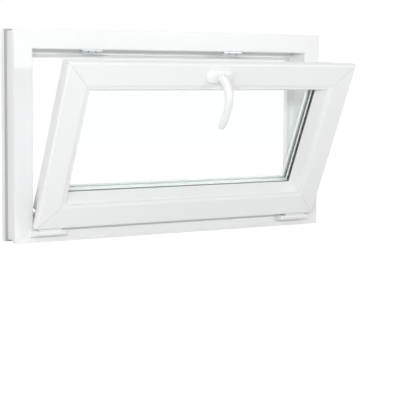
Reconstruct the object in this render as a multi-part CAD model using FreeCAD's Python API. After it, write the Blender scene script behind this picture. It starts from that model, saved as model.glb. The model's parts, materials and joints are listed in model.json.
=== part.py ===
import FreeCAD, Part
import math
import os

# A bottom-hung hopper window in white plastic profile, with its sash tilted into the room.
# Millimetres. +X is right as seen from the room, +Y points outdoors and +Z is up. The origin is on
# the underside of the sill, at mid-width, in the middle of the land behind its room face.

# Frame: one Z-shaped profile, mitred and welded at the corners.
WINDOW_WIDTH = 870.0
WINDOW_HEIGHT = 490.0
FRAME_DEPTH = 70.0
FRAME_FACE = 46.0
FRAME_LIP_HEIGHT = 20.0
FRAME_LIP_TAPER = 2.5
FRAME_EDGE_RADIUS = 3.0
FRAME_OUTER_RADIUS = 1.2

# Recess and grooves along the outer perimeter of the frame. A start is measured from the room face,
# and a setback from the outdoor face.
FRONT_GROOVE_START = 1.5
FRONT_GROOVE_WIDTH = 4.0
RECESS_START = 12.0
RECESS_DEPTH = 5.0
ANCHOR_GROOVE_SETBACK = 14.0
ANCHOR_GROOVE_WIDTH = 7.0
ANCHOR_GROOVE_DEPTH = 12.0
REAR_GROOVE_SETBACK = 6.5
REAR_GROOVE_WIDTH = 2.5
SHALLOW_GROOVE_DEPTH = 2.5

# Holes through the jambs for the wall screws, and drain slots in the sill.
FIXING_HOLE_RADIUS = 3.5
FIXING_DEPTH = 21.0
FIXING_LOW_HEIGHT = 131.0
FIXING_SPACING = 177.0
DRAIN_OFFSET = 250.0
DRAIN_LENGTH = 28.0
DRAIN_HEIGHT = 5.0
DRAIN_FLOOR = 38.0
DRAIN_WELL_START = 44.0

# Sash: a deeper Z-shaped profile that laps over the room face of the frame.
TILT_DEGREES = 24.0
SASH_OVERLAP = 9.0
SASH_PROUD = 22.0
SASH_DEPTH = 70.0
SASH_LIP_GAP = 6.0
SASH_LIP_WIDTH = 21.0
SASH_FACE = 60.0
SASH_BEVEL_WIDTH = 7.0
SASH_BEVEL_DROP = 2.5
SASH_EDGE_RADIUS = 4.0
SASH_REAR_RADIUS = 2.0
REBATE_GAP = 5.0
GLASS_SIGHT = 82.0
REAR_LIP_THICKNESS = 11.0
REAR_LIP_TAPER = 3.0

# Sealed double glazing with its beads and gaskets.
PANE_THICKNESS = 4.0
CAVITY = 14.0
GLASS_COVER = 15.0
SPACER_HEIGHT = 9.0
SPACER_SETBACK = 1.0
GASKET_THICKNESS = 3.0
GASKET_HEIGHT = 12.0
REBATE_GASKET_HEIGHT = 8.0
BEAD_FRONT = 5.0
BEAD_SETBACK = 2.0
BEAD_RADIUS = 3.0
SEAM_RADIUS = 0.8

# Weather seals between frame and sash. Each stops just short of the face that it closes on.
SEAL_CLEARANCE = 1.0
SEAL_WIDTH = 6.0
SEAL_INSET = 3.0
SEAL_SHOULDER = 1.0
SEAL_RADIUS = 1.5

# Barrel hinges under the bottom rail.
HINGE_STANDOFF = 12.0
HINGE_DROP = 15.0
HINGE_RIGHT_INSET = 8.0
BARREL_RADIUS = 7.5
LONG_END_KNUCKLE = 14.0
MIDDLE_KNUCKLE = 57.0
SHORT_END_KNUCKLE = 13.0
KNUCKLE_GAP = 0.5
LEAF_THICKNESS = 3.5
LEAF_ABOVE = 7.0
LEAF_BELOW = 9.0
WEB_THICKNESS = 9.0
PIN_RADIUS = 3.0
PIN_CLEARANCE = 0.05
PIN_HEAD_RADIUS = 5.0
PIN_HEAD_THICKNESS = 1.5

# Locking gear: a drive rod under a slotted face plate in the top rail, and strikers under the head.
FACEPLATE_CENTRE = 36.0
FACEPLATE_WIDTH = 16.0
FACEPLATE_THICKNESS = 2.5
FACEPLATE_MARGIN = 60.0
DRIVE_ROD_WIDTH = 12.0
DRIVE_ROD_THICKNESS = 2.5
DRIVE_ROD_MARGIN = 50.0
CAM_TRAVEL = 36.0
CAM_SLOT_CLEARANCE = 0.4
CAM_STEM_RADIUS = 4.0
CAM_HEAD_RADIUS = 5.5
CAM_HEAD_THICKNESS = 2.5
CAM_HEIGHT = 8.0
CAM_CLEARANCE = 5.0
STRIKER_LEFT_X = -233.0
STRIKER_RIGHT_X = 166.0
STRIKER_LENGTH = 52.0
STRIKER_DEPTH = 18.0
STRIKER_SETBACK = 4.0
STRIKER_WALL_HEIGHT = 8.0
STRIKER_WALL_THICKNESS = 4.0
STRIKER_BASE_THICKNESS = 3.0
STRIKER_RADIUS = 1.0

# Handle: an oval rosette and a bowed lever, shown pointing down in the open position.
SPINDLE_INSET = 31.0
ROSETTE_LENGTH = 74.0
ROSETTE_HEIGHT = 35.0
ROSETTE_THICKNESS = 11.0
ROSETTE_ROUNDING = 3.0
NECK_RADIUS = 10.5
NECK_CLEARANCE = 0.05
NECK_BASE_GAP = 0.5
NECK_HEIGHT = 22.0
NECK_DOME_HEIGHT = 7.0
NECK_DOME_RADIUS = 6.0
LEVER_WIDTH = 20.0
LEVER_THICKNESS = 12.0
LEVER_BEVEL = 3.5
LEVER_BEND_START = 22.0
LEVER_NECK_BEND = 33.0
LEVER_SHOULDER_BEND = 55.0
LEVER_BEND_DEGREES = 45.0
LEVER_BOW_RADIUS = 260.0
LEVER_BOW_DEGREES = 11.0

# Planes that several pieces share. Depths are measured outdoors from the room face of the frame.
ROOM_Y = -(FRONT_GROOVE_START + FRONT_GROOVE_WIDTH + RECESS_START) / 2
SASH_EDGE = FRAME_FACE - SASH_OVERLAP
SASH_WIDTH = WINDOW_WIDTH - 2 * SASH_EDGE
SASH_HEIGHT = WINDOW_HEIGHT - 2 * SASH_EDGE
SASH_FACE_Y = ROOM_Y - SASH_PROUD
SASH_TOP = SASH_EDGE + SASH_HEIGHT
SASH_LIP_THICKNESS = SASH_PROUD - SASH_LIP_GAP
FRAME_LIP_FACE = SASH_DEPTH - SASH_PROUD + REBATE_GAP
UNIT_THICKNESS = 2 * PANE_THICKNESS + CAVITY
REAR_LIP_FACE = SASH_DEPTH - REAR_LIP_THICKNESS
UNIT_BACK = REAR_LIP_FACE - GASKET_THICKNESS
UNIT_FRONT = UNIT_BACK - UNIT_THICKNESS
BEAD_BACK = UNIT_FRONT - GASKET_THICKNESS
HINGE_Y = ROOM_Y - HINGE_STANDOFF
HINGE_Z = SASH_EDGE - HINGE_DROP
HINGE_LENGTH = LONG_END_KNUCKLE + MIDDLE_KNUCKLE + SHORT_END_KNUCKLE + 2 * KNUCKLE_GAP
SPINDLE_Z = SASH_TOP - SPINDLE_INSET
X_AXIS = FreeCAD.Vector(1, 0, 0)
Y_AXIS = FreeCAD.Vector(0, 1, 0)
Z_AXIS = FreeCAD.Vector(0, 0, 1)


def rounded_face(corners, place):
    """Flat face through corners (a, b) or (a, b, radius), with place(a, b) giving each 3-D point."""
    points = [place(corner[0], corner[1]) for corner in corners]
    radii = [corner[2] if len(corner) > 2 else 0.0 for corner in corners]
    arrivals, middles, departures = [], [], []
    for i, point in enumerate(points):
        back = (points[i - 1] - point).normalize()
        ahead = (points[(i + 1) % len(points)] - point).normalize()
        half_angle = back.getAngle(ahead) / 2
        tangent = radii[i] / math.tan(half_angle)
        bisector = (back + ahead).normalize() if radii[i] else back
        to_arc = radii[i] / math.sin(half_angle) - radii[i]
        arrivals.append(point + back * tangent)
        middles.append(point + bisector * to_arc)
        departures.append(point + ahead * tangent)
    edges = []
    for i in range(len(points)):
        if radii[i]:
            edges.append(Part.Arc(arrivals[i], middles[i], departures[i]).toShape())
        following = arrivals[(i + 1) % len(points)]
        if departures[i].distanceToPoint(following) > 1e-6:
            edges.append(Part.LineSegment(departures[i], following).toShape())
    return Part.Face(Part.Wire(edges))


def block(x, y, z):
    """Box between the (low, high) pairs given along X, Y and Z."""
    low = FreeCAD.Vector(x[0], y[0], z[0])
    return Part.makeBox(x[1] - x[0], y[1] - y[0], z[1] - z[0], low)


def rod(radius, start, direction, length):
    """Solid cylinder from a start point along a direction."""
    return Part.makeCylinder(radius, length, start, direction)


def stadium(half_length, half_width, centre, across_axis):
    """Flat face with half-round ends, long along X and half_width to each side along across_axis."""
    corners = [(-half_length, -half_width, half_width), (half_length, -half_width, half_width),
               (half_length, half_width, half_width), (-half_length, half_width, half_width)]
    return rounded_face(corners, lambda along, across: centre + X_AXIS * along + across_axis * across)


def mitred_bars(section, width, height, base_z, front_y):
    """Four bars of one section round a rectangle, cut to 45 degrees where they meet.

    The section's corners are (distance inwards, depth), from the rectangle's outline and front_y.
    """
    reach = max(corner[0] for corner in section)
    depths = [corner[1] for corner in section]
    bars = {}
    placings = (("bottom", 0, width, 0, 0), ("top", 180, width, 0, height),
                ("left", 90, height, -width / 2, height / 2), ("right", -90, height, width / 2, height / 2))
    for side, turn, length, x, z in placings:
        face = rounded_face(section, lambda inward, depth: FreeCAD.Vector(-length / 2, depth, inward))
        mitre = [(-length / 2, 0), (length / 2, 0), (length / 2 - reach, reach), (reach - length / 2, reach)]
        wedge = rounded_face(mitre, lambda along, inward: FreeCAD.Vector(along, min(depths), inward))
        bar = face.extrude(X_AXIS * length).common(wedge.extrude(Y_AXIS * (max(depths) - min(depths))))
        bar.rotate(FreeCAD.Vector(), Y_AXIS, turn)
        bar.translate(FreeCAD.Vector(x, front_y, base_z + z))
        bars[side] = bar.Solids[0]
    return bars


def ring(section, width, height, base_z, front_y):
    """The same four bars joined into one closed ring."""
    bars = list(mitred_bars(section, width, height, base_z, front_y).values())
    return bars[0].fuse(bars[1:]).removeSplitter().Solids[0]


def frame_members():
    """Head, sill and jambs, with drain slots in the sill and screw holes through the jambs."""
    lip_top = FRAME_FACE + FRAME_LIP_HEIGHT
    front_end = FRONT_GROOVE_START + FRONT_GROOVE_WIDTH
    anchor_end = FRAME_DEPTH - ANCHOR_GROOVE_SETBACK
    anchor_start = anchor_end - ANCHOR_GROOVE_WIDTH
    rear_end = FRAME_DEPTH - REAR_GROOVE_SETBACK
    rear_start = rear_end - REAR_GROOVE_WIDTH
    section = [
        (0, 0, FRAME_OUTER_RADIUS), (FRAME_FACE, 0, FRAME_EDGE_RADIUS), (FRAME_FACE, FRAME_LIP_FACE),
        (lip_top, FRAME_LIP_FACE, FRAME_OUTER_RADIUS),
        (lip_top - FRAME_LIP_TAPER, FRAME_DEPTH, FRAME_EDGE_RADIUS), (0, FRAME_DEPTH, FRAME_OUTER_RADIUS),
        (0, rear_end), (SHALLOW_GROOVE_DEPTH, rear_end),
        (SHALLOW_GROOVE_DEPTH, rear_start), (0, rear_start),
        (0, anchor_end), (ANCHOR_GROOVE_DEPTH, anchor_end),
        (ANCHOR_GROOVE_DEPTH, anchor_start), (RECESS_DEPTH, anchor_start),
        (RECESS_DEPTH, RECESS_START), (0, RECESS_START),
        (0, front_end), (SHALLOW_GROOVE_DEPTH, front_end),
        (SHALLOW_GROOVE_DEPTH, FRONT_GROOVE_START), (0, FRONT_GROOVE_START),
    ]
    bars = mitred_bars(section, WINDOW_WIDTH, WINDOW_HEIGHT, 0, ROOM_Y)
    sill = bars["bottom"]
    for x in (-DRAIN_OFFSET, DRAIN_OFFSET):
        span = (x - DRAIN_LENGTH / 2, x + DRAIN_LENGTH / 2)
        well_y = ROOM_Y + DRAIN_WELL_START
        drain_top = DRAIN_FLOOR + DRAIN_HEIGHT
        sill = sill.cut(block(span, (well_y, ROOM_Y + FRAME_DEPTH), (DRAIN_FLOOR, drain_top)))
        sill = sill.cut(block(span, (well_y, well_y + DRAIN_HEIGHT), (drain_top, FRAME_FACE)))
    jambs = {}
    for side, outer_x in (("left", -WINDOW_WIDTH / 2), ("right", WINDOW_WIDTH / 2 - FRAME_FACE)):
        jambs[side] = bars[side]
        for z in (FIXING_LOW_HEIGHT, FIXING_LOW_HEIGHT + FIXING_SPACING):
            hole_start = FreeCAD.Vector(outer_x, ROOM_Y + FIXING_DEPTH, z)
            jambs[side] = jambs[side].cut(rod(FIXING_HOLE_RADIUS, hole_start, X_AXIS, FRAME_FACE))
    return {"frame_head": bars["top"], "frame_sill": sill,
            "frame_left_jamb": jambs["left"], "frame_right_jamb": jambs["right"]}


def frame_seal():
    """Soft strip on the outdoor lip of the frame, facing the back of the sash."""
    base = FRAME_LIP_FACE
    tip = FRAME_LIP_FACE - (REBATE_GAP - SEAL_CLEARANCE)
    inner = FRAME_FACE + FRAME_LIP_HEIGHT - SEAL_INSET
    outer = inner - SEAL_WIDTH
    section = [(outer, base), (inner, base),
               (inner - SEAL_SHOULDER, tip, SEAL_RADIUS), (outer + SEAL_SHOULDER, tip, SEAL_RADIUS)]
    return {"frame_seal": ring(section, WINDOW_WIDTH, WINDOW_HEIGHT, 0, ROOM_Y)}


def sash_members():
    """Stiles and rails of the sash, with the stepped hardware groove along their outer edges."""
    bevel_start = SASH_FACE - SASH_BEVEL_WIDTH
    plate_low = FACEPLATE_CENTRE - FACEPLATE_WIDTH / 2
    plate_high = FACEPLATE_CENTRE + FACEPLATE_WIDTH / 2
    rod_low = FACEPLATE_CENTRE - DRIVE_ROD_WIDTH / 2
    rod_high = FACEPLATE_CENTRE + DRIVE_ROD_WIDTH / 2
    step = SASH_LIP_WIDTH + FACEPLATE_THICKNESS
    floor = step + DRIVE_ROD_THICKNESS
    section = [
        (0, 0, SASH_EDGE_RADIUS), (bevel_start, 0, SASH_EDGE_RADIUS), (SASH_FACE, SASH_BEVEL_DROP),
        (SASH_FACE, REAR_LIP_FACE), (GLASS_SIGHT, REAR_LIP_FACE, FRAME_OUTER_RADIUS),
        (GLASS_SIGHT - REAR_LIP_TAPER, SASH_DEPTH, SASH_REAR_RADIUS),
        (SASH_LIP_WIDTH, SASH_DEPTH, SASH_REAR_RADIUS),
        (SASH_LIP_WIDTH, plate_high), (step, plate_high), (step, rod_high), (floor, rod_high),
        (floor, rod_low), (step, rod_low), (step, plate_low), (SASH_LIP_WIDTH, plate_low),
        (SASH_LIP_WIDTH, SASH_LIP_THICKNESS), (0, SASH_LIP_THICKNESS, SASH_REAR_RADIUS),
    ]
    bars = mitred_bars(section, SASH_WIDTH, SASH_HEIGHT, SASH_EDGE, SASH_FACE_Y)
    return {"sash_top_rail": bars["top"], "sash_bottom_rail": bars["bottom"],
            "sash_left_stile": bars["left"], "sash_right_stile": bars["right"]}


def sash_seal():
    """Soft strip behind the lip of the sash, facing the room face of the frame."""
    base = SASH_LIP_THICKNESS
    tip = SASH_PROUD - SEAL_CLEARANCE
    section = [(SEAL_INSET, base), (SEAL_INSET + SEAL_SHOULDER, tip, SEAL_RADIUS),
               (SASH_OVERLAP - SEAL_SHOULDER, tip, SEAL_RADIUS), (SASH_OVERLAP, base)]
    return {"sash_seal": ring(section, SASH_WIDTH, SASH_HEIGHT, SASH_EDGE, SASH_FACE_Y)}


def glazing():
    """Two panes, their spacer and the gaskets on both sides of the unit."""
    unit_edge = GLASS_SIGHT - GLASS_COVER
    gasket_outer = GLASS_SIGHT - GASKET_HEIGHT
    rebate_gasket_inner = gasket_outer + REBATE_GASKET_HEIGHT
    spacer_inner = GLASS_SIGHT - SPACER_SETBACK
    spacer_outer = spacer_inner - SPACER_HEIGHT
    front_cavity = UNIT_FRONT + PANE_THICKNESS
    back_cavity = UNIT_BACK - PANE_THICKNESS

    def sash_ring(outer, inner, front, back):
        section = [(outer, front), (inner, front), (inner, back), (outer, back)]
        return ring(section, SASH_WIDTH, SASH_HEIGHT, SASH_EDGE, SASH_FACE_Y)

    def pane(front):
        half = SASH_WIDTH / 2 - unit_edge
        depth = (SASH_FACE_Y + front, SASH_FACE_Y + front + PANE_THICKNESS)
        return block((-half, half), depth, (SASH_EDGE + unit_edge, SASH_TOP - unit_edge))

    return {"glass_room_pane": pane(UNIT_FRONT), "glass_outdoor_pane": pane(back_cavity),
            "glass_spacer": sash_ring(spacer_outer, spacer_inner, front_cavity, back_cavity),
            "bead_gasket": sash_ring(gasket_outer, GLASS_SIGHT, BEAD_BACK, UNIT_FRONT),
            "rebate_gasket": sash_ring(gasket_outer, rebate_gasket_inner, UNIT_BACK, REAR_LIP_FACE)}


def glazing_beads():
    """Snap-in beads that hold the glass from the room side."""
    section = [(SASH_FACE, SASH_BEVEL_DROP, SEAM_RADIUS),
               (SASH_FACE + BEAD_FRONT, SASH_BEVEL_DROP, BEAD_RADIUS),
               (GLASS_SIGHT - BEAD_SETBACK, BEAD_BACK), (SASH_FACE, BEAD_BACK)]
    bars = mitred_bars(section, SASH_WIDTH, SASH_HEIGHT, SASH_EDGE, SASH_FACE_Y)
    return {"bead_" + side: bar for side, bar in bars.items()}


def hinge(name, start_x):
    """Barrel hinge: a frame leaf with two end knuckles, a sash leaf with the middle one, and a pin."""
    start = FreeCAD.Vector(start_x, HINGE_Y, HINGE_Z)
    end_x = start_x + HINGE_LENGTH
    middle_x = start_x + LONG_END_KNUCKLE + KNUCKLE_GAP
    short_x = end_x - SHORT_END_KNUCKLE
    bore = rod(PIN_RADIUS, start, X_AXIS, HINGE_LENGTH)
    plate_low = HINGE_Z - LEAF_BELOW
    plate_high = HINGE_Z + LEAF_ABOVE
    frame_leaf = block((start_x, end_x), (ROOM_Y - LEAF_THICKNESS, ROOM_Y), (plate_low, plate_high))
    lug = [(ROOM_Y, plate_low), (ROOM_Y, plate_high),
           (HINGE_Y, HINGE_Z + BARREL_RADIUS), (HINGE_Y, HINGE_Z - BARREL_RADIUS)]
    for x, length in ((start_x, LONG_END_KNUCKLE), (short_x, SHORT_END_KNUCKLE)):
        knuckle = rod(BARREL_RADIUS, FreeCAD.Vector(x, HINGE_Y, HINGE_Z), X_AXIS, length)
        web = rounded_face(lug, lambda y, z: FreeCAD.Vector(x, y, z)).extrude(X_AXIS * length)
        frame_leaf = frame_leaf.fuse([knuckle, web])
    frame_leaf = frame_leaf.removeSplitter().cut(bore)

    middle = rod(BARREL_RADIUS, FreeCAD.Vector(middle_x, HINGE_Y, HINGE_Z), X_AXIS, MIDDLE_KNUCKLE)
    web_y = (HINGE_Y - WEB_THICKNESS / 2, HINGE_Y + WEB_THICKNESS / 2)
    sash_web = block((middle_x, middle_x + MIDDLE_KNUCKLE), web_y, (HINGE_Z, SASH_EDGE))
    sash_leaf = middle.fuse(sash_web).removeSplitter().cut(bore)

    head_start = start - X_AXIS * PIN_HEAD_THICKNESS
    head = rod(PIN_HEAD_RADIUS, head_start, X_AXIS, PIN_HEAD_THICKNESS)
    pin = rod(PIN_RADIUS - PIN_CLEARANCE, head_start, X_AXIS, PIN_HEAD_THICKNESS + HINGE_LENGTH)
    fixed = {name + "_frame_leaf": frame_leaf, name + "_pin": pin.fuse(head).removeSplitter()}
    return fixed, {name + "_sash_leaf": sash_leaf}


def strikers():
    """Keeps under the head that the cams slide behind."""
    top_z = WINDOW_HEIGHT - FRAME_FACE
    wall_back = STRIKER_SETBACK + STRIKER_WALL_THICKNESS
    base_back = STRIKER_SETBACK + STRIKER_DEPTH
    section = [(0, STRIKER_SETBACK), (STRIKER_WALL_HEIGHT, STRIKER_SETBACK, STRIKER_RADIUS),
               (STRIKER_WALL_HEIGHT, wall_back, STRIKER_RADIUS), (STRIKER_BASE_THICKNESS, wall_back),
               (STRIKER_BASE_THICKNESS, base_back), (0, base_back)]
    keeps = {}
    for name, x in (("striker_left", STRIKER_LEFT_X), ("striker_right", STRIKER_RIGHT_X)):
        start = FreeCAD.Vector(x - STRIKER_LENGTH / 2, ROOM_Y, top_z)
        face = rounded_face(section, lambda drop, depth: start + Y_AXIS * depth - Z_AXIS * drop)
        keeps[name] = face.extrude(X_AXIS * STRIKER_LENGTH)
    return keeps


def locking_gear():
    """Drive rod in the top rail, its slotted face plate, and a cam on the rod beside each striker."""
    plate_top = SASH_TOP - SASH_LIP_WIDTH
    rod_top = plate_top - FACEPLATE_THICKNESS
    centre_y = SASH_FACE_Y + FACEPLATE_CENTRE
    beside = STRIKER_LENGTH / 2 + CAM_CLEARANCE + CAM_HEAD_RADIUS
    cam_x = (STRIKER_LEFT_X + beside, STRIKER_RIGHT_X + beside)

    def strip(margin, width, top, thickness):
        along = (cam_x[0] - margin, cam_x[1] + margin)
        return block(along, (centre_y - width / 2, centre_y + width / 2), (top - thickness, top))

    plate = strip(FACEPLATE_MARGIN, FACEPLATE_WIDTH, plate_top, FACEPLATE_THICKNESS)
    gear = {"drive_rod": strip(DRIVE_ROD_MARGIN, DRIVE_ROD_WIDTH, rod_top, DRIVE_ROD_THICKNESS)}
    slot_half = CAM_STEM_RADIUS + CAM_SLOT_CLEARANCE
    for name, x in zip(("lock_cam_left", "lock_cam_right"), cam_x):
        foot = FreeCAD.Vector(x, centre_y, rod_top)
        middle = foot - X_AXIS * (CAM_TRAVEL / 2)
        slot = stadium(CAM_TRAVEL / 2 + slot_half, slot_half, middle, Y_AXIS)
        plate = plate.cut(slot.extrude(Z_AXIS * FACEPLATE_THICKNESS))
        stem = rod(CAM_STEM_RADIUS, foot, Z_AXIS, FACEPLATE_THICKNESS + CAM_HEIGHT)
        head_foot = foot + Z_AXIS * (FACEPLATE_THICKNESS + CAM_HEIGHT - CAM_HEAD_THICKNESS)
        gear[name] = stem.fuse(rod(CAM_HEAD_RADIUS, head_foot, Z_AXIS, CAM_HEAD_THICKNESS)).removeSplitter()
    return {**gear, "lock_faceplate": plate}


def handle_rosette():
    """Oval base of the handle, screwed to the face of the top rail, with the neck's bore through it."""
    foot = FreeCAD.Vector(0, SASH_FACE_Y, SPINDLE_Z)
    face = stadium(ROSETTE_LENGTH / 2, ROSETTE_HEIGHT / 2, foot, Z_AXIS)
    plate = face.extrude(Y_AXIS * -ROSETTE_THICKNESS)
    front_y = SASH_FACE_Y - ROSETTE_THICKNESS
    rim = [edge for edge in plate.Edges if abs(edge.BoundBox.YMax - front_y) < 1e-6]
    plate = plate.makeFillet(ROSETTE_ROUNDING, rim)
    bore = rod(NECK_RADIUS + NECK_CLEARANCE, foot, Y_AXIS * -1, ROSETTE_THICKNESS)
    return {"handle_rosette": plate.cut(bore)}


def handle_lever():
    """Lever: a bevelled bar that leaves the round neck, bends down in two arcs and bows back to its tip."""
    half_width = LEVER_WIDTH / 2
    half_thickness = LEVER_THICKNESS / 2
    flat_width = half_width - LEVER_BEVEL
    flat_thickness = half_thickness - LEVER_BEVEL
    half_section = [(0, -half_thickness), (flat_width, -half_thickness), (half_width, -flat_thickness),
                    (half_width, flat_thickness), (flat_width, half_thickness), (0, half_thickness)]
    section = half_section[1:-1] + [(-across, thick) for across, thick in half_section[-2:0:-1]]

    def bar_face(corners):
        return rounded_face(corners, lambda across, thick: point + X_AXIS * across + inside * thick)

    outwards = Y_AXIS * -1
    neck_foot = FreeCAD.Vector(0, SASH_FACE_Y - NECK_BASE_GAP, SPINDLE_Z)
    dome_foot = FreeCAD.Vector(0, SASH_FACE_Y - NECK_HEIGHT, SPINDLE_Z)
    pieces = [rod(NECK_RADIUS, neck_foot, outwards, NECK_HEIGHT - NECK_BASE_GAP),
              Part.makeCone(NECK_RADIUS, NECK_DOME_RADIUS, NECK_DOME_HEIGHT, dome_foot, outwards)]
    point = FreeCAD.Vector(0, SASH_FACE_Y - LEVER_BEND_START, SPINDLE_Z)
    inside = Z_AXIS * -1
    bends = ((LEVER_NECK_BEND, LEVER_BEND_DEGREES), (LEVER_SHOULDER_BEND, LEVER_BEND_DEGREES),
             (LEVER_BOW_RADIUS, LEVER_BOW_DEGREES))
    for radius, degrees in bends:
        centre = point + inside * radius
        pieces.append(bar_face(section).revolve(centre, X_AXIS, degrees))
        inside = FreeCAD.Rotation(X_AXIS, degrees).multVec(inside)
        point = centre - inside * radius
    pieces.append(bar_face(half_section).revolve(point, inside, 180))
    return {"handle_lever": pieces[0].fuse(pieces[1:]).removeSplitter().Solids[0]}


fixed_pieces = {**frame_members(), **frame_seal(), **strikers()}
tilting_pieces = {**sash_members(), **sash_seal(), **glazing(), **glazing_beads(), **locking_gear(),
                  **handle_rosette(), **handle_lever()}
left_start = -SASH_WIDTH / 2
right_start = SASH_WIDTH / 2 - HINGE_RIGHT_INSET - HINGE_LENGTH
for hinge_name, hinge_start in (("hinge_left", left_start), ("hinge_right", right_start)):
    hinge_fixed, hinge_tilting = hinge(hinge_name, hinge_start)
    fixed_pieces.update(hinge_fixed)
    tilting_pieces.update(hinge_tilting)

# Everything on the sash is drawn closed, then tilted into the room about the hinge pins.
for piece in tilting_pieces.values():
    piece.rotate(FreeCAD.Vector(0, HINGE_Y, HINGE_Z), X_AXIS, TILT_DEGREES)

os.makedirs("parts", exist_ok=True)
for node, shape in {**fixed_pieces, **tilting_pieces}.items():
    shape.exportStep("parts/" + node + ".step")
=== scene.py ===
import json
import math
import bmesh
import bpy
from mathutils import Matrix, Vector


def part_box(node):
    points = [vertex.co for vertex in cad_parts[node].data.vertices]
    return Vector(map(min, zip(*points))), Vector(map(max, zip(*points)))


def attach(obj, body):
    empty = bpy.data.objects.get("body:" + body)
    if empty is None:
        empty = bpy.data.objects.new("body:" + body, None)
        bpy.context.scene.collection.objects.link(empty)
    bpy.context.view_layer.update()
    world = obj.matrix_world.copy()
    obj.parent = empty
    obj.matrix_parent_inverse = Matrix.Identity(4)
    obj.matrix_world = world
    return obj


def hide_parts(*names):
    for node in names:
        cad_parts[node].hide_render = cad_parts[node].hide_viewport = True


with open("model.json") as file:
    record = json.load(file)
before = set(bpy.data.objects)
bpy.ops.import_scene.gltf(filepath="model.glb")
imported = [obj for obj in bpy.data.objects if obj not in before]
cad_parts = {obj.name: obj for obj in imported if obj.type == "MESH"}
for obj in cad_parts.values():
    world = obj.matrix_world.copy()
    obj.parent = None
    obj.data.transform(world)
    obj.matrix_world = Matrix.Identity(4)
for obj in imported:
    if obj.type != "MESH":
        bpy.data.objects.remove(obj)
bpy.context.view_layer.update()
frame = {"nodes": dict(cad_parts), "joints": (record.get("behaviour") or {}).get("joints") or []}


# Outer frame: head, sill and two jambs in white plastic profile, extruded in long lengths,
# cut at 45 degrees and welded at the corners. Extrusion leaves faint lines along each length,
# and the scraped weld stays as a low ridge across each corner of the room face.
head_low, head_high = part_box("frame_head")
half_width = head_high.x
frame_top = head_high.z
room_face = head_low.y
frame_face = 0.046


def new_finish(name):
    """A node material and its main shader."""
    finish = bpy.data.materials.new(name)
    finish.use_nodes = True
    return finish, finish.node_tree.nodes["Principled BSDF"]


def add_node(finish, kind, values=(), **wires):
    """A shader node with values set on its sockets and outputs of other nodes wired to them."""
    node = finish.node_tree.nodes.new("ShaderNode" + kind)
    for socket, value in dict(values).items():
        node.inputs[socket].default_value = value
    for socket, output in wires.items():
        finish.node_tree.links.new(output, node.inputs[socket])
    return node


def wire(finish, output, socket):
    """Joins an output of one node to a socket of another."""
    finish.node_tree.links.new(output, socket)


def tint_range(finish, factor, dark, pale):
    """A colour that runs between two close tints with the factor."""
    ramp = add_node(finish, "ValToRGB", Fac=factor)
    ramp.color_ramp.elements[0].color = (*dark, 1)
    ramp.color_ramp.elements[1].color = (*pale, 1)
    return ramp.outputs["Color"]


def number_range(finish, value, low, high):
    """A number that runs between two limits with the value."""
    return add_node(finish, "MapRange", {"To Min": low, "To Max": high}, Value=value).outputs["Result"]


def extruded_white(name, run, arris, tilt=0.0):
    """Satin white plastic with drawn lines along one axis, in a piece that leans by tilt."""
    line_length = 0.5
    line_width = 0.0016
    finish, shader = new_finish(name)
    place = add_node(finish, "TexCoord").outputs["Object"]
    drawn = add_node(finish, "Mapping", Vector=place)
    drawn.vector_type = "TEXTURE"
    drawn.inputs["Rotation"].default_value = (tilt, 0, 0)
    drawn.inputs["Scale"].default_value = [line_length if axis == run else line_width for axis in "xyz"]
    lines = add_node(finish, "TexNoise", {"Scale": 1.0, "Detail": 3.0}, Vector=drawn.outputs["Vector"])
    clouds = add_node(finish, "TexNoise", {"Scale": 9.0, "Detail": 4.0}, Vector=place)
    tint = tint_range(finish, clouds.outputs[0], (0.872, 0.879, 0.885), (0.890, 0.896, 0.902))
    wire(finish, tint, shader.inputs["Base Color"])
    wire(finish, number_range(finish, lines.outputs[0], 0.30, 0.44), shader.inputs["Roughness"])
    softened = add_node(finish, "Bevel", {"Radius": arris})
    softened.samples = 4
    relief = add_node(finish, "Bump", {"Strength": 0.12, "Distance": 0.0001},
                      Height=lines.outputs[0], Normal=softened.outputs["Normal"])
    wire(finish, relief.outputs["Normal"], shader.inputs["Normal"])
    return finish


def dress(finish, *names):
    """Gives CAD nodes their finish."""
    for name in names:
        surfaces = frame["nodes"][name].data.materials
        surfaces.clear()
        surfaces.append(finish)


def add_piece(name, shape, finish, body, place=Matrix()):
    """Turns a built shape into a piece with smooth rounds and crisp corners that rides on a body."""
    crisp_above = math.radians(38)
    bmesh.ops.recalc_face_normals(shape, faces=shape.faces)
    shape.transform(place)
    mesh = bpy.data.meshes.new(name)
    shape.to_mesh(mesh)
    shape.free()
    mesh.materials.append(finish)
    mesh.shade_smooth()
    mesh.set_sharp_from_angle(angle=crisp_above)
    piece = bpy.data.objects.new(name, mesh)
    bpy.context.collection.objects.link(piece)
    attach(piece, body)
    return piece


def bridge(shape, loops):
    """Quads between each closed loop of vertices and the next."""
    for near, far in zip(loops, loops[1:]):
        for i in range(len(near)):
            j = (i + 1) % len(near)
            shape.faces.new((near[i], near[j], far[j], far[i]))


def close_ends(shape, loops):
    """Flat faces over the first and the last loop."""
    shape.faces.new(loops[0])
    shape.faces.new(loops[-1])


def weld_ridge(start, end, outwards):
    """A low rounded ridge from start to end, half sunk in a flat face."""
    ridge_width = 0.0007
    ridge_rise = 0.00006
    round_steps = 10
    side = (end - start).normalized().cross(outwards)
    shape = bmesh.new()
    loops = []
    for along, swell in ((0, 0.1), (0.03, 1), (0.97, 1), (1, 0.1)):
        loop = []
        for step in range(round_steps):
            angle = math.tau * step / round_steps
            across = side * (ridge_width * swell * math.cos(angle))
            rise = outwards * (ridge_rise * swell * math.sin(angle))
            loop.append(shape.verts.new(start.lerp(end, along) + across + rise))
        loops.append(loop)
    bridge(shape, loops)
    close_ends(shape, loops)
    return shape


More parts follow.
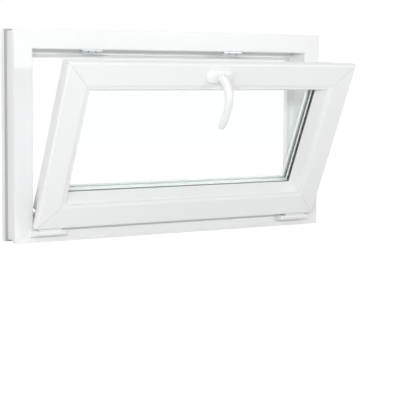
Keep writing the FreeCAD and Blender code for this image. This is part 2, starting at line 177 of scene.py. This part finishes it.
frame_arris = 0.0003
white_along_x = extruded_white("white_profile_level", "x", frame_arris)
white_along_z = extruded_white("white_profile_upright", "z", frame_arris)
dress(white_along_x, "frame_head", "frame_sill")
dress(white_along_z, "frame_left_jamb", "frame_right_jamb")
to_room = Vector((0, -1, 0))
weld_start = 0.0015
weld_end = frame_face - 0.003
for corner, x_side, z_edge, z_in in (
        ("lower_left", -1, 0, 1), ("lower_right", 1, 0, 1),
        ("upper_left", -1, frame_top, -1), ("upper_right", 1, frame_top, -1)):
    inset = Vector((-x_side, 0, z_in))
    outer = Vector((x_side * half_width, room_face, z_edge))
    ridge = weld_ridge(outer + inset * weld_start, outer + inset * weld_end, to_room)
    add_piece("frame_weld_" + corner, ridge, white_along_x, "frame")


# Caps over the wall screws: small white plastic discs pressed into the rebate of the jambs,
# one over each fixing hole.
def turned(profile, steps=32):
    """A round shape about +Z from (radius, height) pairs, with flat ends."""
    shape = bmesh.new()
    loops = []
    for radius, height in profile:
        loop = []
        for step in range(steps):
            angle = math.tau * step / steps
            loop.append(shape.verts.new((radius * math.cos(angle), radius * math.sin(angle), height)))
        loops.append(loop)
    bridge(shape, loops)
    close_ends(shape, loops)
    return shape


cap_profile = ((0.0054, -0.0005), (0.0054, 0.0003), (0.0050, 0.0008), (0.0040, 0.0011), (0.0018, 0.0012))
rebate_wall = half_width - frame_face
cap_depth = room_face + 0.021
cap_heights = (("lower", 0.131), ("upper", 0.308))
for side, x_side in (("left", -1), ("right", 1)):
    facing = Matrix.Rotation(math.radians(-90 * x_side), 4, "Y")
    for level, height in cap_heights:
        spot = Matrix.Translation((x_side * rebate_wall, cap_depth, height))
        add_piece(f"screw_cap_{side}_{level}", turned(cap_profile), white_along_z, "frame",
                  spot @ facing)


# Frame seal: a soft grey strip pushed into the outdoor lip of the frame, with a curled lip
# that the back of the sash closes on.
def ring_round(section, half, bottom, top):
    """A strip of one section round a rectangle, mitred. Section points are (inwards, depth)."""
    shape = bmesh.new()
    loops = []
    for x_side, z_edge, z_in in ((-1, bottom, 1), (1, bottom, 1), (1, top, -1), (-1, top, -1)):
        loop = []
        for inwards, depth in section:
            loop.append(shape.verts.new((x_side * (half - inwards), depth, z_edge + z_in * inwards)))
        loops.append(loop)
    bridge(shape, loops + loops[:1])
    return shape


def soft_rubber(name, dark, pale):
    """Matt rubber with a fine grain and a dusting of paler bloom."""
    finish, shader = new_finish(name)
    place = add_node(finish, "TexCoord").outputs["Object"]
    bloom = add_node(finish, "TexNoise", {"Scale": 160.0, "Detail": 5.0, "Roughness": 0.6}, Vector=place)
    grain = add_node(finish, "TexNoise", {"Scale": 2600.0, "Detail": 2.0}, Vector=place)
    wire(finish, tint_range(finish, bloom.outputs[0], dark, pale), shader.inputs["Base Color"])
    wire(finish, number_range(finish, bloom.outputs[0], 0.55, 0.75), shader.inputs["Roughness"])
    relief = add_node(finish, "Bump", {"Strength": 0.25, "Distance": 0.0001}, Height=grain.outputs[0])
    wire(finish, relief.outputs["Normal"], shader.inputs["Normal"])
    return finish


grey_seal = soft_rubber("grey_seal_rubber", (0.70, 0.71, 0.70), (0.78, 0.79, 0.78))
lip_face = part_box("frame_seal")[1].y
frame_seal_section = [
    (inwards, lip_face - proud) for inwards, proud in (
        (0.0570, 0.0), (0.0570, 0.0008), (0.0579, 0.0012), (0.0582, 0.0024), (0.0587, 0.0033),
        (0.0596, 0.0039), (0.0607, 0.0039), (0.0616, 0.0034), (0.0621, 0.0026), (0.0620, 0.0018),
        (0.0621, 0.0012), (0.0630, 0.0008), (0.0630, 0.0))
]
seal = add_piece("frame_seal_strip", ring_round(frame_seal_section, half_width, 0, frame_top),
                 grey_seal, "frame")
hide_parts("frame_seal")


# Dark groove strip: a dark grey strip laid in the groove round the outside of the frame,
# which makes that groove dark.
groove_strip_front = room_face + 0.0492
groove_strip_back = room_face + 0.0558
groove_strip_section = [
    (0.0118, groove_strip_front), (0.0118, groove_strip_back), (0.0016, groove_strip_back), (0.0009, groove_strip_back - 0.0012),
    (0.0006, (groove_strip_front + groove_strip_back) / 2), (0.0009, groove_strip_front + 0.0012), (0.0016, groove_strip_front),
]
dark_groove_finish = soft_rubber("dark_groove_strip_finish", (0.38, 0.39, 0.41), (0.48, 0.49, 0.51))
add_piece("dark_groove_strip", ring_round(groove_strip_section, half_width, 0, frame_top),
          dark_groove_finish, "frame")


# Strikers: two zinc castings held under the head by two cross screws each, with a hooked wall
# that the cams slide behind and sloped ends that lead them in. Two small dark screws in the
# wall set how tightly the sash is drawn shut.
def bright_zinc(name, dark, pale):
    """Zinc plating with fine brushing along X and cloudy patches."""
    finish, shader = new_finish(name)
    place = add_node(finish, "TexCoord").outputs["Object"]
    brushed = add_node(finish, "Mapping", Vector=place)
    brushed.vector_type = "TEXTURE"
    brushed.inputs["Scale"].default_value = (0.02, 0.0004, 0.0004)
    strokes = add_node(finish, "TexNoise", {"Scale": 1.0, "Detail": 4.0}, Vector=brushed.outputs["Vector"])
    patches = add_node(finish, "TexNoise", {"Scale": 220.0, "Detail": 3.0}, Vector=place)
    tint = tint_range(finish, patches.outputs[0], dark, pale)
    wire(finish, tint, shader.inputs["Base Color"])
    shader.inputs["Metallic"].default_value = 1.0
    wire(finish, number_range(finish, strokes.outputs[0], 0.24, 0.46), shader.inputs["Roughness"])
    relief = add_node(finish, "Bump", {"Strength": 0.2, "Distance": 0.00005}, Height=strokes.outputs[0])
    wire(finish, relief.outputs["Normal"], shader.inputs["Normal"])
    return finish


def cross_screw(radius, rise):
    """A domed screw head on +Z with a cross recess."""
    head_steps = 24
    shape = bmesh.new()
    loops = []
    for reach, height in ((1.0, -0.3), (1.0, 0.25), (0.9, 0.65), (0.72, 1.0)):
        loop = []
        for step in range(head_steps):
            angle = math.tau * step / head_steps
            spot = (radius * reach * math.cos(angle), radius * reach * math.sin(angle), rise * height)
            loop.append(shape.verts.new(spot))
        loops.append(loop)
    bridge(shape, loops)
    shape.faces.new(loops[0])
    arm = 0.52 * radius
    half_slot = 0.13 * radius
    outline = [(half_slot, half_slot), (half_slot, arm), (-half_slot, arm), (-half_slot, half_slot),
               (-arm, half_slot), (-arm, -half_slot), (-half_slot, -half_slot), (-half_slot, -arm),
               (half_slot, -arm), (half_slot, -half_slot), (arm, -half_slot), (arm, half_slot)]
    brim = [shape.verts.new((x, y, rise)) for x, y in outline]
    floor = [shape.verts.new((0.7 * x, 0.7 * y, 0.1 * rise)) for x, y in outline]
    bridge(shape, [brim, floor])
    shape.faces.new(floor)
    rims = [edge for edge in shape.edges if len(edge.link_faces) == 1]
    bmesh.ops.triangle_fill(shape, edges=rims, use_beauty=True)
    return shape


dark_steel = bright_zinc("dark_steel", (0.16, 0.17, 0.17), (0.26, 0.27, 0.27))
pale_zinc = bright_zinc("pale_zinc", (0.54, 0.57, 0.58), (0.72, 0.75, 0.76))
striker_thickness = 0.003
wall_drop = 0.008
lead_in = 0.002
lead_in_drop = 0.0066
screw_depth = 0.011
screw_offset = 0.015
adjuster_depth = 0.0002
adjuster_drop = 0.0044
adjuster_offset = 0.010
face_down = Matrix.Rotation(math.pi, 4, "X")
face_room = Matrix.Rotation(math.pi / 2, 4, "X")
for side in ("left", "right"):
    low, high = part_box("striker_" + side)
    mid_x = (low.x + high.x) / 2
    shape = bmesh.new()
    loops = []
    for x, wall in ((low.x, lead_in_drop), (low.x + lead_in, wall_drop),
                    (high.x - lead_in, wall_drop), (high.x, lead_in_drop)):
        outline = ((0, 0.0002), (wall - 0.0012, 0.0002), (wall - 0.0004, 0.0006), (wall, 0.0012),
                   (wall, 0.0034), (wall - 0.0006, 0.0040), (striker_thickness, 0.0044),
                   (striker_thickness, 0.0174), (striker_thickness - 0.0006, 0.0180), (0, 0.0180))
        loops.append([shape.verts.new((x, low.y + depth, high.z - drop)) for drop, depth in outline])
    bridge(shape, loops)
    close_ends(shape, loops)
    casting = add_piece(f"striker_{side}_casting", shape, pale_zinc, "frame")
    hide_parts("striker_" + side)
    for hand, x in (("inner", mid_x - screw_offset), ("outer", mid_x + screw_offset)):
        hole = Matrix.Translation((x, low.y + screw_depth, high.z - striker_thickness))
        add_piece(f"striker_{side}_screw_{hand}", cross_screw(0.0036, 0.0011), pale_zinc,
                  "frame", hole @ face_down)
    for hand, x in (("inner", mid_x - adjuster_offset), ("outer", mid_x + adjuster_offset)):
        hole = Matrix.Translation((x, low.y + adjuster_depth, high.z - adjuster_drop))
        add_piece(f"striker_{side}_adjuster_{hand}", cross_screw(0.0024, 0.0006), dark_steel,
                  "frame", hole @ face_room)


# Hinges: cast barrel hinges in white powder coat. The frame leaf has the two end knuckles,
# the sash leaf the long middle one, and a white pin with a low head runs through them.
def powder_coat(name):
    """White powder coat with a fine orange-peel surface."""
    finish, shader = new_finish(name)
    place = add_node(finish, "TexCoord").outputs["Object"]
    peel = add_node(finish, "TexNoise", {"Scale": 900.0, "Detail": 2.0}, Vector=place)
    clouds = add_node(finish, "TexNoise", {"Scale": 40.0, "Detail": 3.0}, Vector=place)
    tint = tint_range(finish, clouds.outputs[0], (0.862, 0.870, 0.872), (0.885, 0.890, 0.892))
    wire(finish, tint, shader.inputs["Base Color"])
    wire(finish, number_range(finish, peel.outputs[0], 0.28, 0.40), shader.inputs["Roughness"])
    softened = add_node(finish, "Bevel", {"Radius": 0.0006})
    softened.samples = 4
    relief = add_node(finish, "Bump", {"Strength": 0.15, "Distance": 0.0001},
                      Height=peel.outputs[0], Normal=softened.outputs["Normal"])
    wire(finish, relief.outputs["Normal"], shader.inputs["Normal"])
    return finish


hinge_coat = powder_coat("white_powder_coat")
for side in ("left", "right"):
    hinge = "hinge_" + side
    dress(hinge_coat, hinge + "_frame_leaf", hinge + "_pin", hinge + "_sash_leaf")


# Sash: stiles and rails in a deeper white profile, welded like the frame and tilted into the
# room on the hinges. Its pieces are laid out closed here, then opened with the tilt.
tilt_joint = next(joint for joint in frame["joints"] if joint["name"] == "sash_tilt")
hinge_line = Vector(tilt_joint["pos_m"])
tilt = -math.radians(tilt_joint["range_deg"][0])
opened = Matrix.Translation(hinge_line) @ Matrix.Rotation(tilt, 4, "X") @ Matrix.Translation(-hinge_line)
sash_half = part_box("sash_top_rail")[1].x
sash_bottom = 0.037
sash_top = 0.453
sash_proud = 0.022
sash_face = room_face - sash_proud
sash_weld_start = 0.004
sash_weld_end = 0.051

sash_arris = 0.0007
rail_white = extruded_white("white_profile_rail", "x", sash_arris, tilt)
stile_white = extruded_white("white_profile_stile", "z", sash_arris, tilt)
dress(rail_white, "sash_top_rail", "sash_bottom_rail")
dress(stile_white, "sash_left_stile", "sash_right_stile")
for corner, x_side, z_edge, z_in in (
        ("lower_left", -1, sash_bottom, 1), ("lower_right", 1, sash_bottom, 1),
        ("upper_left", -1, sash_top, -1), ("upper_right", 1, sash_top, -1)):
    inset = Vector((-x_side, 0, z_in))
    outer = Vector((x_side * sash_half, sash_face, z_edge))
    ridge = weld_ridge(outer + inset * sash_weld_start, outer + inset * sash_weld_end, to_room)
    add_piece("sash_weld_" + corner, ridge, rail_white, "sash", opened)


# Sash seal: a grey strip behind the lip of the sash, with a curled lip that closes on the
# room face of the frame.
lip_thickness = 0.016
lip_back = sash_face + lip_thickness
sash_seal_section = [
    (inwards, lip_back + proud) for inwards, proud in (
        (0.0030, 0.0), (0.0030, 0.0010), (0.0037, 0.0015), (0.0040, 0.0030), (0.0045, 0.0042),
        (0.0054, 0.0049), (0.0065, 0.0049), (0.0074, 0.0042), (0.0079, 0.0030), (0.0081, 0.0015),
        (0.0090, 0.0010), (0.0090, 0.0))
]
seal = add_piece("sash_seal_strip", ring_round(sash_seal_section, sash_half, sash_bottom, sash_top),
                 grey_seal, "sash", opened)
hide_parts("sash_seal")


# Glazing gaskets: dark rubber strips pressed in on both sides of the sealed unit. Each has a
# rounded edge that stops just behind the plastic that holds it.
dark_gasket = soft_rubber("dark_gasket_rubber", (0.14, 0.15, 0.15), (0.24, 0.25, 0.25))
bead_gasket_section = [
    (inwards, sash_face + depth) for inwards, depth in (
        (0.0700, 0.0310), (0.0790, 0.0310), (0.0795, 0.0313), (0.0798, 0.0320), (0.0799, 0.0328),
        (0.0799, 0.0340), (0.0700, 0.0340))
]
rebate_gasket_section = [
    (inwards, sash_face + depth) for inwards, depth in (
        (0.0700, 0.0560), (0.0778, 0.0560), (0.0780, 0.0572), (0.0779, 0.0580), (0.0774, 0.0587),
        (0.0765, 0.0590), (0.0700, 0.0590))
]
for node, section in (("bead_gasket", bead_gasket_section), ("rebate_gasket", rebate_gasket_section)):
    strip = add_piece(node + "_strip", ring_round(section, sash_half, sash_bottom, sash_top),
                      dark_gasket, "sash", opened)
    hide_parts(node)


# Spacer: a roll-formed aluminium bar bent round between the panes. Two shallow grooves run
# along the face that shows inside the unit.
def mill_aluminium(name):
    """Dull rolled aluminium with a fine mottle."""
    finish, shader = new_finish(name)
    place = add_node(finish, "TexCoord").outputs["Object"]
    rolled = add_node(finish, "TexNoise", {"Scale": 500.0, "Detail": 3.0}, Vector=place)
    tint = tint_range(finish, rolled.outputs[0], (0.70, 0.73, 0.72), (0.80, 0.83, 0.82))
    wire(finish, tint, shader.inputs["Base Color"])
    shader.inputs["Metallic"].default_value = 0.6
    wire(finish, number_range(finish, rolled.outputs[0], 0.38, 0.52), shader.inputs["Roughness"])
    return finish


aluminium = mill_aluminium("mill_aluminium")
spacer_front = 0.0380
spacer_back = 0.0520
spacer_section = [
    (inwards, sash_face + depth) for inwards, depth in (
        (0.0720, spacer_front), (0.0800, spacer_front), (0.0810, 0.0390), (0.0810, 0.0418),
        (0.0805, 0.0423), (0.0805, 0.0430), (0.0810, 0.0435), (0.0810, 0.0465), (0.0805, 0.0470),
        (0.0805, 0.0477), (0.0810, 0.0482), (0.0810, 0.0510), (0.0800, spacer_back), (0.0720, spacer_back))
]
spacer = add_piece("glass_spacer_bar", ring_round(spacer_section, sash_half, sash_bottom, sash_top),
                   aluminium, "sash", opened)
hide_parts("glass_spacer")


# Butyl: black sealing strips between the spacer and the panes, pressed out a little. They are
# put only along the two upright edges of the unit, where they also serve as painted shade on
# the spacer; the top and bottom runs of the unit have none.
butyl_and_painted_shade = soft_rubber("black_butyl_and_painted_shade", (0.05, 0.055, 0.055), (0.09, 0.10, 0.10))
butyl_end = 0.0812
butyl_full = 0.0850
butyl_swell = 0.0006
for side, x_side in (("left", -1), ("right", 1)):
    for pane_side, near, far in (("room", spacer_front, 0.0408), ("outdoor", 0.0474, spacer_back)):
        shape = bmesh.new()
        loops = []
        for height, swell in ((sash_bottom + butyl_end, 0.0), (sash_bottom + butyl_full, butyl_swell),
                              (sash_top - butyl_full, butyl_swell), (sash_top - butyl_end, 0.0)):
            loop = []
            for inwards, depth in ((0.0750, near), (0.0750, far), (0.0811 + swell, far),
                                   (0.0813 + swell, (near + far) / 2), (0.0811 + swell, near)):
                loop.append(shape.verts.new((x_side * (sash_half - inwards), sash_face + depth, height)))
            loops.append(loop)
        bridge(shape, loops)
        close_ends(shape, loops)
        add_piece(f"butyl_{side}_{pane_side}", shape, butyl_and_painted_shade, "sash", opened)


# Glass: two panes of clear float glass, cut to size and sealed to the spacer round their edges.
# They are faintly green and let the lamps shine through.
def float_glass(name):
    """Clear glass that bends what is seen through it and casts only a faint shadow."""
    finish, shader = new_finish(name)
    place = add_node(finish, "TexCoord").outputs["Object"]
    drift = add_node(finish, "TexNoise", {"Scale": 3.0, "Detail": 1.0}, Vector=place)
    tint = tint_range(finish, drift.outputs[0], (0.985, 0.995, 0.990), (0.990, 1.0, 0.995))
    wire(finish, tint, shader.inputs["Base Color"])
    shader.inputs["Roughness"].default_value = 0.0
    shader.inputs["Transmission Weight"].default_value = 1.0
    shader.inputs["IOR"].default_value = 1.5
    rays = add_node(finish, "LightPath")
    lit_through = add_node(finish, "Math")
    lit_through.operation = "MAXIMUM"
    wire(finish, rays.outputs["Is Shadow Ray"], lit_through.inputs[0])
    wire(finish, rays.outputs["Is Diffuse Ray"], lit_through.inputs[1])
    clear = add_node(finish, "BsdfTransparent", {"Color": (0.965, 0.985, 0.975, 1)})
    pane = add_node(finish, "MixShader", Fac=lit_through.outputs[0])
    wire(finish, shader.outputs[0], pane.inputs[1])
    wire(finish, clear.outputs[0], pane.inputs[2])
    wire(finish, pane.outputs[0], finish.node_tree.nodes["Material Output"].inputs["Surface"])
    return finish


clear_glass = float_glass("clear_float_glass")
dress(clear_glass, "glass_room_pane", "glass_outdoor_pane")


# Glazing beads: four white plastic strips, extruded and cut at 45 degrees, that snap into the
# sash and hold the glass from the room side.
dress(rail_white, "bead_bottom", "bead_top")
dress(stile_white, "bead_left", "bead_right")


# Locking gear: a zinc-plated drive rod and its slotted face plate, screwed along the hardware
# groove of the top rail, with two mushroom cams that slide behind the strikers.
zinc = bright_zinc("bright_zinc", (0.60, 0.61, 0.62), (0.74, 0.75, 0.76))
dress(zinc, "drive_rod", "lock_faceplate")
groove_depth = 0.021
groove_setback = 0.036
plate_top = sash_top - groove_depth
plate_y = sash_face + groove_setback
cam_places = (("left", -0.1965), ("right", 0.2025))
plate_screws = (-0.249, -0.12, 0.0, 0.12, 0.255)
cam_profile = ((0.0030, -0.0025), (0.0040, -0.0020), (0.0040, 0.0054), (0.0052, 0.0056),
               (0.0055, 0.0060), (0.0055, 0.0074), (0.0050, 0.0079), (0.0022, 0.0080), (0.0018, 0.0068))
for side, x in cam_places:
    upright = Matrix.Translation((x, plate_y, plate_top))
    cam = add_piece(f"lock_cam_{side}_turned", turned(cam_profile), zinc, "sash",
                    opened @ upright)
    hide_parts("lock_cam_" + side)
for number, x in enumerate(plate_screws, 1):
    upright = Matrix.Translation((x, plate_y, plate_top))
    add_piece(f"faceplate_screw_{number}", cross_screw(0.0034, 0.0009), zinc, "sash",
              opened @ upright)


# Rosette: the white lacquered base of the handle, a soft oval cover over its screws with a
# round bore for the neck of the lever.
def white_lacquer(name):
    """Smooth white lacquer with faint waves in the gloss."""
    finish, shader = new_finish(name)
    place = add_node(finish, "TexCoord").outputs["Object"]
    waves = add_node(finish, "TexNoise", {"Scale": 70.0, "Detail": 3.0}, Vector=place)
    grain = add_node(finish, "TexNoise", {"Scale": 1500.0, "Detail": 2.0}, Vector=place)
    tint = tint_range(finish, waves.outputs[0], (0.858, 0.866, 0.872), (0.878, 0.885, 0.890))
    wire(finish, tint, shader.inputs["Base Color"])
    wire(finish, number_range(finish, waves.outputs[0], 0.24, 0.34), shader.inputs["Roughness"])
    relief = add_node(finish, "Bump", {"Strength": 0.06, "Distance": 0.0001}, Height=grain.outputs[0])
    wire(finish, relief.outputs["Normal"], shader.inputs["Normal"])
    return finish


lacquer = white_lacquer("white_lacquer")
spindle_height = 0.422
spindle = Vector((0, sash_face, spindle_height))
cover_steps = 96
half_length = 0.037
half_height = 0.0175
straight = half_length - half_height
end_roundness = 3.0
collar_radius = 0.0118
collar_height = 0.0110
bore_radius = 0.01058
cover_profile = ((0.0, 0.0), (0.0, 0.0026), (0.0003, 0.0042), (0.0009, 0.0058), (0.0018, 0.0073),
                 (0.0029, 0.0086), (0.0042, 0.0097), (0.0055, 0.0105))
shape = bmesh.new()
loops = []
for setback, height in cover_profile:
    radius = half_height - setback
    loop = []
    for step in range(cover_steps):
        angle = math.tau * step / cover_steps
        shift = straight * max(-1.0, min(1.0, end_roundness * math.cos(angle)))
        loop.append(shape.verts.new((shift + radius * math.cos(angle), -height, radius * math.sin(angle))))
    loops.append(loop)
for radius, height in ((collar_radius, collar_height), (bore_radius, collar_height), (bore_radius, 0.0)):
    loop = []
    for step in range(cover_steps):
        angle = math.tau * step / cover_steps
        loop.append(shape.verts.new((radius * math.cos(angle), -height, radius * math.sin(angle))))
    loops.append(loop)
bridge(shape, loops + loops[:1])
cover = add_piece("handle_rosette_cover", shape, lacquer, "sash",
                  opened @ Matrix.Translation(spindle))
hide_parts("handle_rosette")


# Lever: a white lacquered casting. It leaves the rosette as a round neck, bends down in two
# arcs and bows back to a rounded tip. It turns in the rosette.
bend_start = 0.022
bends = ((0.033, 45.0), (0.055, 45.0), (0.260, 11.0))
grip_end = bend_start + sum(radius * math.radians(degrees) for radius, degrees in bends)
tip_length = 0.0099


def lever_line(run):
    """How far down and out the centreline is, and how far it has turned, at a run from the sash."""
    down = 0.0
    out = min(run, bend_start)
    turn = 0.0
    left = max(run - bend_start, 0.0)
    for radius, degrees in bends:
        step = min(left / radius, math.radians(degrees))
        down += radius * (math.cos(turn) - math.cos(turn + step))
        out += radius * (math.sin(turn + step) - math.sin(turn))
        turn += step
        left -= radius * step
    return down + left * math.sin(turn), out + left * math.cos(turn), turn


grip_start = 0.0560
grip_width = 0.00995
grip_thickness = 0.00595
grip_taper = 0.0002
grip_square = 2.6
grip_fillet = 0.0027
# run from the sash, half width, half thickness, squareness and inner fillet of the lever
lever_stations = [
    (0.0006, 0.01040, 0.01040, 2.0, 0),
    (0.0113, 0.01040, 0.01040, 2.0, 0),
    (0.0116, 0.00995, 0.00995, 2.0, 0),
    (0.0124, 0.00995, 0.00995, 2.0, 0),
    (0.0127, 0.01045, 0.01045, 2.0, 0),
    (0.0170, 0.01040, 0.01020, 2.0, 0.0002),
    (0.0210, 0.01025, 0.00965, 2.1, 0.0007),
    (0.0260, 0.01005, 0.00850, 2.2, 0.0016),
    (0.0320, 0.00985, 0.00735, 2.3, 0.0025),
    (0.0400, 0.00980, 0.00650, 2.4, 0.0031),
    (0.0480, 0.00985, 0.00610, 2.5, 0.0031),
    (grip_start, grip_width, grip_thickness, grip_square, grip_fillet),
]
grip_steps = 24
for step in range(1, grip_steps + 1):
    along = step / grip_steps
    run = grip_start + (grip_end - grip_start) * along
    width = grip_width - grip_taper * along
    thickness = grip_thickness - grip_taper * along
    lever_stations.append((run, width, thickness, grip_square, grip_fillet * (1 - along) ** 2))
tip_width = grip_width - grip_taper
tip_thickness = grip_thickness - grip_taper
tip_steps = 12
for step in range(1, tip_steps + 1):
    sweep = math.radians(88) * step / tip_steps
    run = grip_end + tip_length * math.sin(sweep)
    width = tip_width * math.cos(sweep)
    thickness = tip_thickness * (1 - (1 - math.cos(sweep)) ** 2.2)
    lever_stations.append((run, width, thickness, grip_square, 0))

section_steps = 48
shape = bmesh.new()
loops = []
for run, wide, thick, square, fillet in lever_stations:
    down, out, turn = lever_line(run)
    inside = Vector((0, math.sin(turn), -math.cos(turn)))
    centre = spindle + Vector((0, -out, -down)) + inside * fillet
    loop = []
    for step in range(section_steps):
        angle = math.tau * step / section_steps
        across = math.copysign(abs(math.cos(angle)) ** (2 / square), math.cos(angle))
        through = math.copysign(abs(math.sin(angle)) ** (2 / square), math.sin(angle))
        reach = Vector((wide * across, 0, 0)) + inside * ((thick + fillet) * through)
        loop.append(shape.verts.new(centre + reach))
    loops.append(loop)
bridge(shape, loops)
close_ends(shape, loops)
lever = add_piece("handle_lever_casting", shape, lacquer, "handle", opened)
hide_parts("handle_lever")


# Setting: a pale floor under the window, a white room all round, soft studio lamps on every
# side, and a camera to the left of the window and a little above its middle.
def shown_itself(tree):
    """An output that is 1 where the setting is seen straight, mirrored or through glass."""
    rays = tree.nodes.new("ShaderNodeLightPath")
    shown = rays.outputs["Is Camera Ray"]
    for kind in ("Is Glossy Ray", "Is Transmission Ray"):
        larger = tree.nodes.new("ShaderNodeMath")
        larger.operation = "MAXIMUM"
        tree.links.new(shown, larger.inputs[0])
        tree.links.new(rays.outputs[kind], larger.inputs[1])
        shown = larger.outputs[0]
    return shown


floor_finish, floor_shader = new_finish("pale_floor")
floor_shader.inputs["Base Color"].default_value = (0.80, 0.80, 0.80, 1)
floor_shader.inputs["Roughness"].default_value = 0.9
white_share = add_node(floor_finish, "Math", {1: 0.88})
white_share.operation = "MULTIPLY"
wire(floor_finish, shown_itself(floor_finish.node_tree), white_share.inputs[0])
glow = add_node(floor_finish, "Emission", {"Color": (1, 1, 1, 1), "Strength": 1.10})
blend = add_node(floor_finish, "MixShader", Fac=white_share.outputs[0])
wire(floor_finish, floor_shader.outputs[0], blend.inputs[1])
wire(floor_finish, glow.outputs[0], blend.inputs[2])
wire(floor_finish, blend.outputs[0], floor_finish.node_tree.nodes["Material Output"].inputs["Surface"])
floor_reach = 6.0
shape = bmesh.new()
bmesh.ops.create_grid(shape, x_segments=1, y_segments=1, size=floor_reach)
floor_mesh = bpy.data.meshes.new("floor")
shape.to_mesh(floor_mesh)
shape.free()
floor_mesh.materials.append(floor_finish)
floor = bpy.data.objects.new("floor", floor_mesh)
bpy.context.collection.objects.link(floor)

scene = bpy.context.scene
scene.world = bpy.data.worlds.new("white_room")
scene.world.use_nodes = True
room_tree = scene.world.node_tree
room_light = room_tree.nodes["Background"]
room_light.inputs["Color"].default_value = (1, 1, 1, 1)
room_light.inputs["Strength"].default_value = 0.29
backdrop = room_tree.nodes.new("ShaderNodeBackground")
backdrop.inputs["Color"].default_value = (1, 1, 1, 1)
backdrop.inputs["Strength"].default_value = 1.0
room = room_tree.nodes.new("ShaderNodeMixShader")
room_tree.links.new(shown_itself(room_tree), room.inputs[0])
room_tree.links.new(room_light.outputs[0], room.inputs[1])
room_tree.links.new(backdrop.outputs[0], room.inputs[2])
room_tree.links.new(room.outputs[0], room_tree.nodes["World Output"].inputs["Surface"])

window_middle = Vector((0, 0, 0.25))
# degrees to the side and upwards as seen from the window, then distance, width, height and power
lamps = {
    "soft_key": (34.0, 10.5, 3.2, 0.45, 0.15, 17.5),
    "front_fill": (-34.0, 10.5, 3.5, 1.6, 0.22, 43.0),
    "side_light": (-68.0, 12.0, 3.0, 1.8, 0.6, 13.0),
    "overhead": (0.0, 75.0, 2.5, 1.6, 1.6, 17.0),
    "back_fill": (-172.0, 20.0, 3.6, 2.2, 2.2, 60.0),
}
for lamp_name, (side_angle, height_angle, distance, wide, tall, power) in lamps.items():
    lamp_data = bpy.data.lights.new(lamp_name, "AREA")
    lamp_data.energy = power
    lamp_data.shape = "RECTANGLE"
    lamp_data.size = wide
    lamp_data.size_y = tall
    lamp = bpy.data.objects.new(lamp_name, lamp_data)
    bpy.context.collection.objects.link(lamp)
    sideways = math.radians(side_angle)
    upwards = math.radians(height_angle)
    towards_lamp = Vector((math.sin(sideways) * math.cos(upwards),
                           -math.cos(sideways) * math.cos(upwards), math.sin(upwards)))
    lamp.matrix_world = (Matrix.Translation(window_middle + towards_lamp * distance)
                         @ towards_lamp.to_track_quat("Z", "Y").to_matrix().to_4x4())

camera_data = bpy.data.cameras.new("camera")
camera_data.sensor_width = 36.0
camera_data.lens = 122.35
camera = bpy.data.objects.new("camera", camera_data)
bpy.context.collection.objects.link(camera)
camera_spot = Vector((-1.7720, -2.8158, 0.3944))
yaw = math.radians(33.248)
pitch = math.radians(-5.388)
roll = math.radians(0.389)
ahead = Vector((math.sin(yaw) * math.cos(pitch), math.cos(yaw) * math.cos(pitch), math.sin(pitch)))
across_view = Vector((math.cos(yaw), -math.sin(yaw), 0))
over_view = across_view.cross(ahead)
right = across_view * math.cos(roll) + over_view * math.sin(roll)
up = over_view * math.cos(roll) - across_view * math.sin(roll)
aim = Matrix((right, up, -ahead)).transposed().to_4x4()
camera.matrix_world = Matrix.Translation(camera_spot) @ aim
scene.camera = camera
scene.view_settings.view_transform = "Standard"
